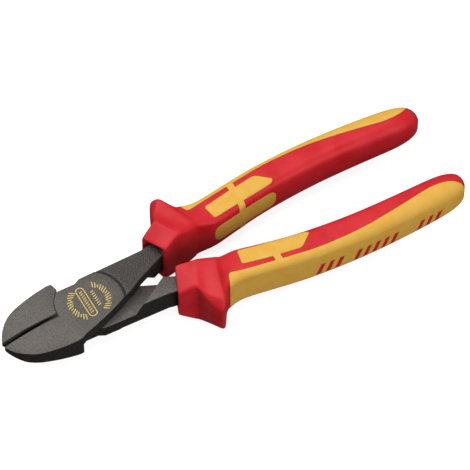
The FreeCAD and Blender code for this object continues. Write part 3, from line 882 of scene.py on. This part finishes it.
def badge_outline(name):
    """A flat outline with rounded ends, lying across the tool on top of the joint."""
    shapes = []
    for shrink, ink in ((0.0, INK), (BADGE_STROKE, 0.1)):
        u = BADGE_WIDTH / 2 - shrink
        v = BADGE_LENGTH / 2 - shrink
        corners = [
            (PIVOT_X - u, -v), (PIVOT_X + u, -v), (PIVOT_X + u, v), (PIVOT_X - u, v)
        ]
        rounding = rounded_all(min(u, v) * 0.94)
        shapes.append(
            drawn_prism(name, corners, JOINT_FACE - ink, JOINT_FACE + ink, rounding=rounding)
        )
    carve(shapes[0], shapes[1], "DIFFERENCE")
    discard(shapes[1])
    return shapes[0]


def slanted_stroke(name, long, thick, lean):
    """One slanted stroke, centred on the pivot and pointing away from it."""
    start = PIVOT_X - long / 2
    end = PIVOT_X + long / 2
    corners = [
        (start, -thick / 2 - lean / 2), (end, -thick / 2 + lean / 2),
        (end, thick / 2 + lean / 2), (start, thick / 2 - lean / 2),
    ]
    rounding = rounded_all(thick * 0.3)
    return drawn_prism(name, corners, JOINT_FACE - INK, JOINT_FACE + INK, rounding=rounding)


def join_pieces(first, others):
    activate(first)
    for other in others:
        other.select_set(True)
    bpy.ops.object.join()
    return first


def moved(piece, turn_degrees, shift):
    """Turn a piece about the pivot axis after shifting it, and fix that in its mesh."""
    centre = place(PIVOT_X, 0.0, 0.0)
    turn = Matrix.Rotation(math.radians(turn_degrees), 4, "Z")
    about_pivot = Matrix.Translation(centre) @ turn @ Matrix.Translation(-centre)
    piece.matrix_world = about_pivot @ Matrix.Translation(Vector(shift) * MM)
    apply_place(piece)
    return piece


class PLIERS_OT_print(bpy.types.Operator):
    """Add the printed ring of plain marks and the plain badge on the joint"""
    bl_idname = "pliers.print"
    bl_label = "Printed marks"

    def execute(self, context):
        sizes = context.scene.pliers_sizes
        long_stroke = slanted_stroke("long_stroke", 2.4, 0.5, 0.9)
        short_stroke = slanted_stroke("short_stroke", 1.5, 0.45, 0.5)
        pieces = []
        step = PRINT_SWEEP / sizes.tick_count
        per_arc = sizes.tick_count // 2
        for arc in (180.0, 0.0):
            for number in range(per_arc):
                angle = arc + (number - (per_arc - 1) / 2) * step
                source = short_stroke if number % 4 == 3 else long_stroke
                outwards = (sizes.ring_radius / MM, 0.0, 0.0)
                pieces.append(moved(copy_of(source, "mark"), angle, outwards))
        outline = moved(badge_outline("badge"), 0.0, (BADGE_SHIFT, 0.0, 0.0))
        for shift, count in STROKE_ROWS:
            for number in range(count):
                across = (number - (count - 1) / 2) * STROKE_PITCH
                pieces.append(moved(copy_of(short_stroke, "mark"), 0.0, (shift, across, 0.0)))
        discard(long_stroke, short_stroke)
        marks = join_pieces(outline, pieces)
        marks.name = "printed_marks"
        finish_piece(marks, "front_half", [], [bpy.data.materials["gold_ink"]])
        return {"FINISHED"}


# ---------------------------------------------------------------- stage


# Area lights aimed at the origin: name, place, size in metres, power in watts.
LIGHTS = (
    ("overhead", (-0.05, 0.15, 0.95), 0.9, 7.3),
    ("back", (-0.35, 0.75, 0.55), 0.6, 4.0),
    ("front", (0.15, -0.9, 0.4), 0.7, 5.6),
)
CAMERA_LENS = 300.0
CAMERA_SENSOR = 36.0


def add_floor():
    """A pale floor just under the tool."""
    clear_selection()
    bpy.ops.mesh.primitive_plane_add(size=6.0, location=(0, 0, -0.0002))
    floor = bpy.context.object
    floor.name = "floor"
    material, _, shader = new_material("floor_white")
    shader.inputs["Base Color"].default_value = (0.4, 0.4, 0.4, 1.0)
    shader.inputs["Emission Color"].default_value = (1.0, 1.0, 1.0, 1.0)
    shader.inputs["Emission Strength"].default_value = 0.8
    shader.inputs["Roughness"].default_value = 0.9
    shader.inputs["Specular IOR Level"].default_value = 0.1
    floor.data.materials.append(material)
    floor.visible_diffuse = False
    floor.visible_glossy = False


def add_world(scene):
    """Soft light from all round, fainter from below."""
    world = bpy.data.worlds.new("studio")
    world.use_nodes = True
    sky = world.node_tree
    direction = sky.nodes.new("ShaderNodeTexCoord")
    split = sky.nodes.new("ShaderNodeSeparateXYZ")
    sky.links.new(direction.outputs["Generated"], split.inputs[0])
    height = ramp(sky, split.outputs["Z"], -0.25, 0.35)
    glow = mix_colour(sky, height, (0.1, 0.1, 0.1, 1.0), (0.55, 0.55, 0.55, 1.0))
    sky.links.new(glow, sky.nodes["Background"].inputs["Color"])
    scene.world = world


def add_lights(collection):
    for name, spot, size, power in LIGHTS:
        light = bpy.data.lights.new(name, "AREA")
        light.size = size
        light.energy = power
        lamp = bpy.data.objects.new(name, light)
        lamp.location = spot
        lamp.rotation_euler = (-Vector(spot)).to_track_quat("-Z", "Y").to_euler()
        collection.objects.link(lamp)


def add_camera(scene):
    """A long-lens camera aimed at the target from the azimuth and elevation in the sizes."""
    sizes = scene.pliers_sizes
    camera = bpy.data.cameras.new("camera")
    camera.lens = CAMERA_LENS
    camera.sensor_width = CAMERA_SENSOR
    back = Vector((
        math.sin(sizes.camera_azimuth) * math.cos(sizes.camera_elevation),
        -math.cos(sizes.camera_azimuth) * math.cos(sizes.camera_elevation),
        math.sin(sizes.camera_elevation),
    ))
    distance = sizes.view_width * CAMERA_LENS / CAMERA_SENSOR
    holder = bpy.data.objects.new("camera", camera)
    holder.location = Vector(sizes.camera_target) + back * distance
    holder.rotation_euler = (-back).to_track_quat("-Z", "Y").to_euler()
    scene.collection.objects.link(holder)
    scene.camera = holder


class PLIERS_OT_stage(bpy.types.Operator):
    """Set the pale floor, the soft lights and the camera"""
    bl_idname = "pliers.stage"
    bl_label = "Stage"

    def execute(self, context):
        scene = context.scene
        add_floor()
        add_world(scene)
        scene.view_settings.view_transform = "Standard"
        add_lights(scene.collection)
        add_camera(scene)
        return {"FINISHED"}


class PliersSizes(bpy.types.PropertyGroup):
    """Sizes and colours that a user would change"""
    red: bpy.props.FloatVectorProperty(
        name="Red", description="Colour of the hard grip plastic", subtype="COLOR", size=3,
        min=0.0, max=1.0, default=(0.47, 0.014, 0.02),
    )
    yellow: bpy.props.FloatVectorProperty(
        name="Yellow", description="Colour of the soft grip fields", subtype="COLOR", size=3,
        min=0.0, max=1.0, default=(0.55, 0.325, 0.058),
    )
    tick_count: bpy.props.IntProperty(
        name="Marks", description="Number of printed strokes round the pivot", default=28, min=4,
    )
    ring_radius: bpy.props.FloatProperty(
        name="Ring radius", description="Middle radius of the printed ring", unit="LENGTH",
        default=0.0078,
    )
    camera_azimuth: bpy.props.FloatProperty(
        name="Azimuth", description="Camera's turn round the tool", unit="ROTATION",
        default=math.radians(-28.7),
    )
    camera_elevation: bpy.props.FloatProperty(
        name="Elevation", description="Camera's height angle", unit="ROTATION",
        default=math.radians(54.9),
    )
    camera_target: bpy.props.FloatVectorProperty(
        name="Target", description="Point looked at, in the tool's frame", unit="LENGTH", size=3,
        default=(0.0067, 0.0037, 0.01328),
    )
    view_width: bpy.props.FloatProperty(
        name="View width", description="Width seen at the target", unit="LENGTH", default=0.1903,
    )


class PLIERS_PT_panel(bpy.types.Panel):
    """Lists the steps that build the pliers"""
    bl_label = "Pliers"
    bl_idname = "PLIERS_PT_panel"
    bl_space_type = "VIEW_3D"
    bl_region_type = "UI"
    bl_category = "Pliers"

    def draw(self, context):
        for name in PliersSizes.__annotations__:
            self.layout.prop(context.scene.pliers_sizes, name)
        for operator in (PLIERS_OT_stage, PLIERS_OT_levers, PLIERS_OT_print, PLIERS_OT_grips):
            self.layout.operator(operator.bl_idname)


CLASSES = (
    PliersSizes, PLIERS_OT_stage, PLIERS_OT_levers, PLIERS_OT_print, PLIERS_OT_grips,
    PLIERS_PT_panel,
)


def register():
    for item in CLASSES:
        bpy.utils.register_class(item)
    bpy.types.Scene.pliers_sizes = bpy.props.PointerProperty(type=PliersSizes)


def unregister():
    del bpy.types.Scene.pliers_sizes
    for item in reversed(CLASSES):
        bpy.utils.unregister_class(item)


def main():
    register()
    build_materials(bpy.context.scene.pliers_sizes)
    bpy.ops.pliers.stage()
    bpy.ops.pliers.levers()
    bpy.ops.pliers.print()
    bpy.ops.pliers.grips()


if __name__ == "__main__":
    main()
